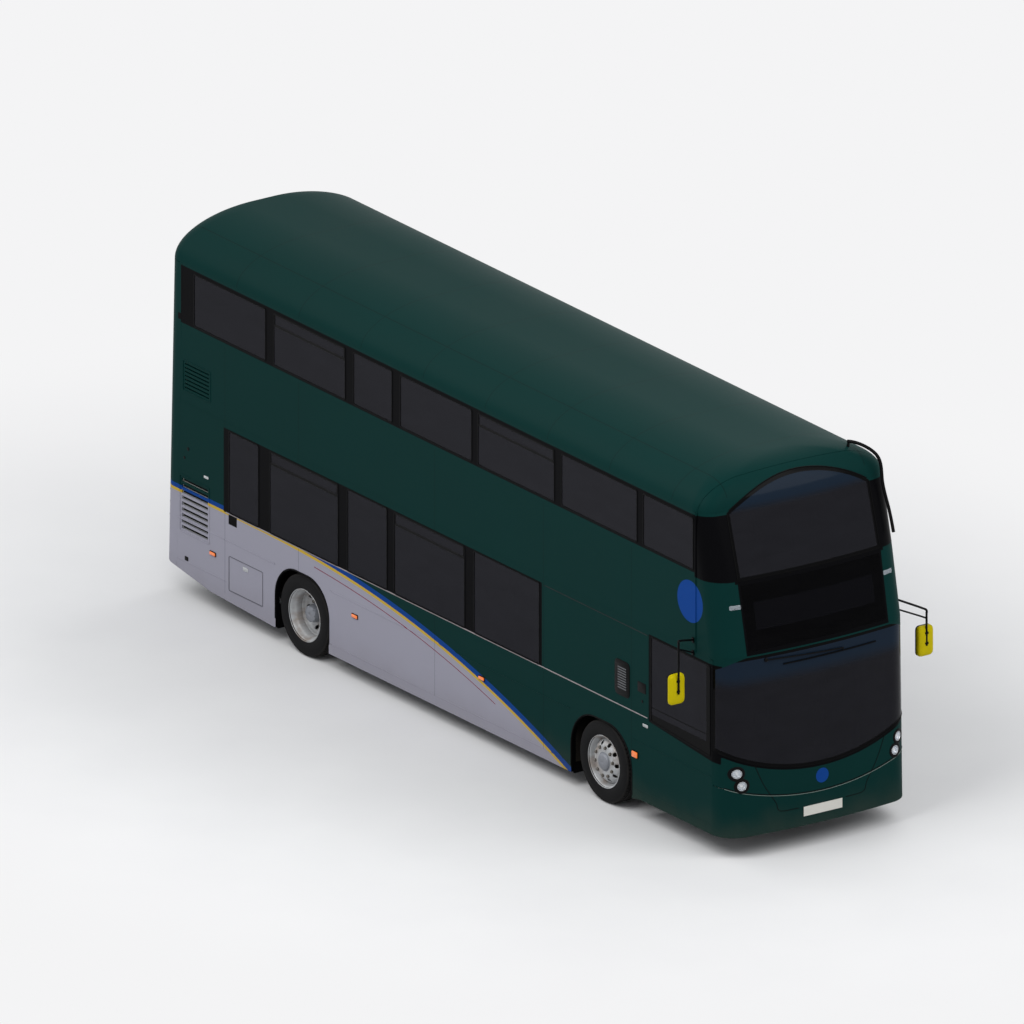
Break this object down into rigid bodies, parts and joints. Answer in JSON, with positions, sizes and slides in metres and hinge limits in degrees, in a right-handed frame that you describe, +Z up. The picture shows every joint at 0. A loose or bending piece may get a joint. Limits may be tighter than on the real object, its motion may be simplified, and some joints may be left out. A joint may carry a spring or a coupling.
{
  "type": "double-decker bus",
  "caption": "Two-deck city bus with one front doorway, a staircase behind the cab, a rear engine and twin rear wheels; wheels roll, and it has steering, folding doors and lids.",
  "frame": {"origin": "on the ground and on the body's middle plane; the middle of the outer box is 58 mm behind it and 30 mm to the left", "axes": "+X to the front, +Y to the nearside (left), +Z up"},
  "size_m": [10.975, 3.57, 4.385],
  "materials": {
    "green_paint": "gloss",
    "glass": "gloss",
    "black_trim": "satin",
    "rubber": "matte",
    "rim_steel": "satin",
    "chassis_steel": "matte",
    "flooring": "matte",
    "seat_fabric": "matte",
    "handrail_paint": "satin",
    "lamp_clear": "gloss",
    "lamp_red": "gloss",
    "plate_white": "satin",
    "mirror_yellow": "satin",
    "cast_iron": "matte"
  },
  "bodies": {
    "bus_body": {"chassis_frame": "chassis_steel", "lower_floor": "flooring", "wheel_arches": "chassis_steel", "upper_floor": "flooring", "staircase": "flooring", "offside_lower_wall": "green_paint", "nearside_lower_wall": "green_paint", "offside_upper_wall": "green_paint", "nearside_upper_wall": "green_paint", "roof": "green_paint", "rear_wall": "green_paint", "front_panel": "green_paint", "front_bumper": "green_paint", "front_dome": "green_paint", "lower_windscreen": "glass", "upper_windscreen": "glass", "destination_glass": "glass", "side_and_rear_windows": "glass", "side_grilles": "black_trim", "headlamps": "lamp_clear", "tail_lamps": "lamp_red", "number_plates": "plate_white", "mirrors": "mirror_yellow", "tree_guard": "black_trim", "windscreen_wiper": "black_trim", "driver_cab": "black_trim", "driver_seat": "seat_fabric", "lower_deck_seats": "seat_fabric", "upper_deck_seats": "seat_fabric", "handrails": "handrail_paint", "engine": "cast_iron", "front_axle_beam": "cast_iron", "rear_axle_tube": "cast_iron", "air_springs": "rubber"},
    "left_steered": {"left_knuckle": "cast_iron"},
    "right_steered": {"right_knuckle": "cast_iron"},
    "track_rod_bar": {"track_rod": "cast_iron"},
    "front_left_wheel": {"front_left_tyre": "rubber", "front_left_rim": "rim_steel"},
    "front_right_wheel": {"front_right_tyre": "rubber", "front_right_rim": "rim_steel"},
    "rear_left_wheels": {"rear_left_tyres": "rubber", "rear_left_rims": "rim_steel"},
    "rear_right_wheels": {"rear_right_tyres": "rubber", "rear_right_rims": "rim_steel"},
    "hand_wheel": {"steering_wheel": "black_trim"},
    "engine_lid": {"engine_door": "green_paint"},
    "side_flap": {"service_flap": "green_paint"},
    "front_post": {"front_door_post": "black_trim"},
    "front_leaf": {"front_door_leaf": "black_trim", "front_door_glass": "glass"},
    "rear_post": {"rear_door_post": "black_trim"},
    "rear_leaf": {"rear_door_leaf": "black_trim", "rear_door_glass": "glass"}
  },
  "joints": [
    {"name": "steer_left", "type": "hinge", "parent": "bus_body", "child": "left_steered", "pos_m": [2.95, 0.915, 0.478], "axis": [0, 0, 1], "range_deg": [-40, 40]},
    {"name": "steer_right", "type": "hinge", "parent": "bus_body", "child": "right_steered", "pos_m": [2.95, -0.915, 0.478], "axis": [0, 0, 1], "range_deg": [-40, 40]},
    {"name": "track_rod_pivot", "type": "hinge", "parent": "left_steered", "child": "track_rod_bar", "pos_m": [2.7, 0.915, 0.212], "axis": [0, 0, 1], "range_deg": [-40, 40]},
    {"name": "front_left_spin", "type": "hinge", "parent": "left_steered", "child": "front_left_wheel", "pos_m": [2.95, 1.105, 0.478], "axis": [0, 1, 0], "continuous": true},
    {"name": "front_right_spin", "type": "hinge", "parent": "right_steered", "child": "front_right_wheel", "pos_m": [2.95, -1.105, 0.478], "axis": [0, 1, 0], "continuous": true},
    {"name": "rear_left_spin", "type": "hinge", "parent": "bus_body", "child": "rear_left_wheels", "pos_m": [-2.83, 0.949, 0.478], "axis": [0, 1, 0], "continuous": true},
    {"name": "rear_right_spin", "type": "hinge", "parent": "bus_body", "child": "rear_right_wheels", "pos_m": [-2.83, -0.949, 0.478], "axis": [0, 1, 0], "continuous": true},
    {"name": "steering_wheel_turn", "type": "hinge", "parent": "bus_body", "child": "hand_wheel", "pos_m": [4.64, -0.79, 1.29], "axis": [-0.4226, 0, 0.9063], "range_deg": [-480, 480]},
    {"name": "engine_door_hinge", "type": "hinge", "parent": "bus_body", "child": "engine_lid", "pos_m": [-5.5088, 0, 1.374], "axis": [0, 1, 0], "range_deg": [0, 85]},
    {"name": "service_flap_hinge", "type": "hinge", "parent": "bus_body", "child": "side_flap", "pos_m": [-3.915, -1.26, 0.759], "axis": [-1, 0, 0], "range_deg": [0, 95]},
    {"name": "front_door_post_turn", "type": "hinge", "parent": "bus_body", "child": "front_post", "pos_m": [4.985, 1.17, 1.3], "axis": [0, 0, 1], "range_deg": [0, 90]},
    {"name": "front_door_leaf_turn", "type": "hinge", "parent": "front_post", "child": "front_leaf", "pos_m": [4.6405, 1.17, 1.3], "axis": [0, 0, 1], "range_deg": [-180, 0]},
    {"name": "rear_door_post_turn", "type": "hinge", "parent": "bus_body", "child": "rear_post", "pos_m": [3.685, 1.17, 1.3], "axis": [0, 0, -1], "range_deg": [0, 90]},
    {"name": "rear_door_leaf_turn", "type": "hinge", "parent": "rear_post", "child": "rear_leaf", "pos_m": [4.0295, 1.17, 1.3], "axis": [0, 0, -1], "range_deg": [-180, 0]}
  ],
  "couplings": [
    {"joint": "steer_right", "follows": "steer_left", "ratio": 1},
    {"joint": "track_rod_pivot", "follows": "steer_left", "ratio": -1},
    {"joint": "steering_wheel_turn", "follows": "steer_left", "ratio": 12},
    {"joint": "front_door_leaf_turn", "follows": "front_door_post_turn", "ratio": -2},
    {"joint": "rear_door_leaf_turn", "follows": "rear_door_post_turn", "ratio": -2}
  ]
}
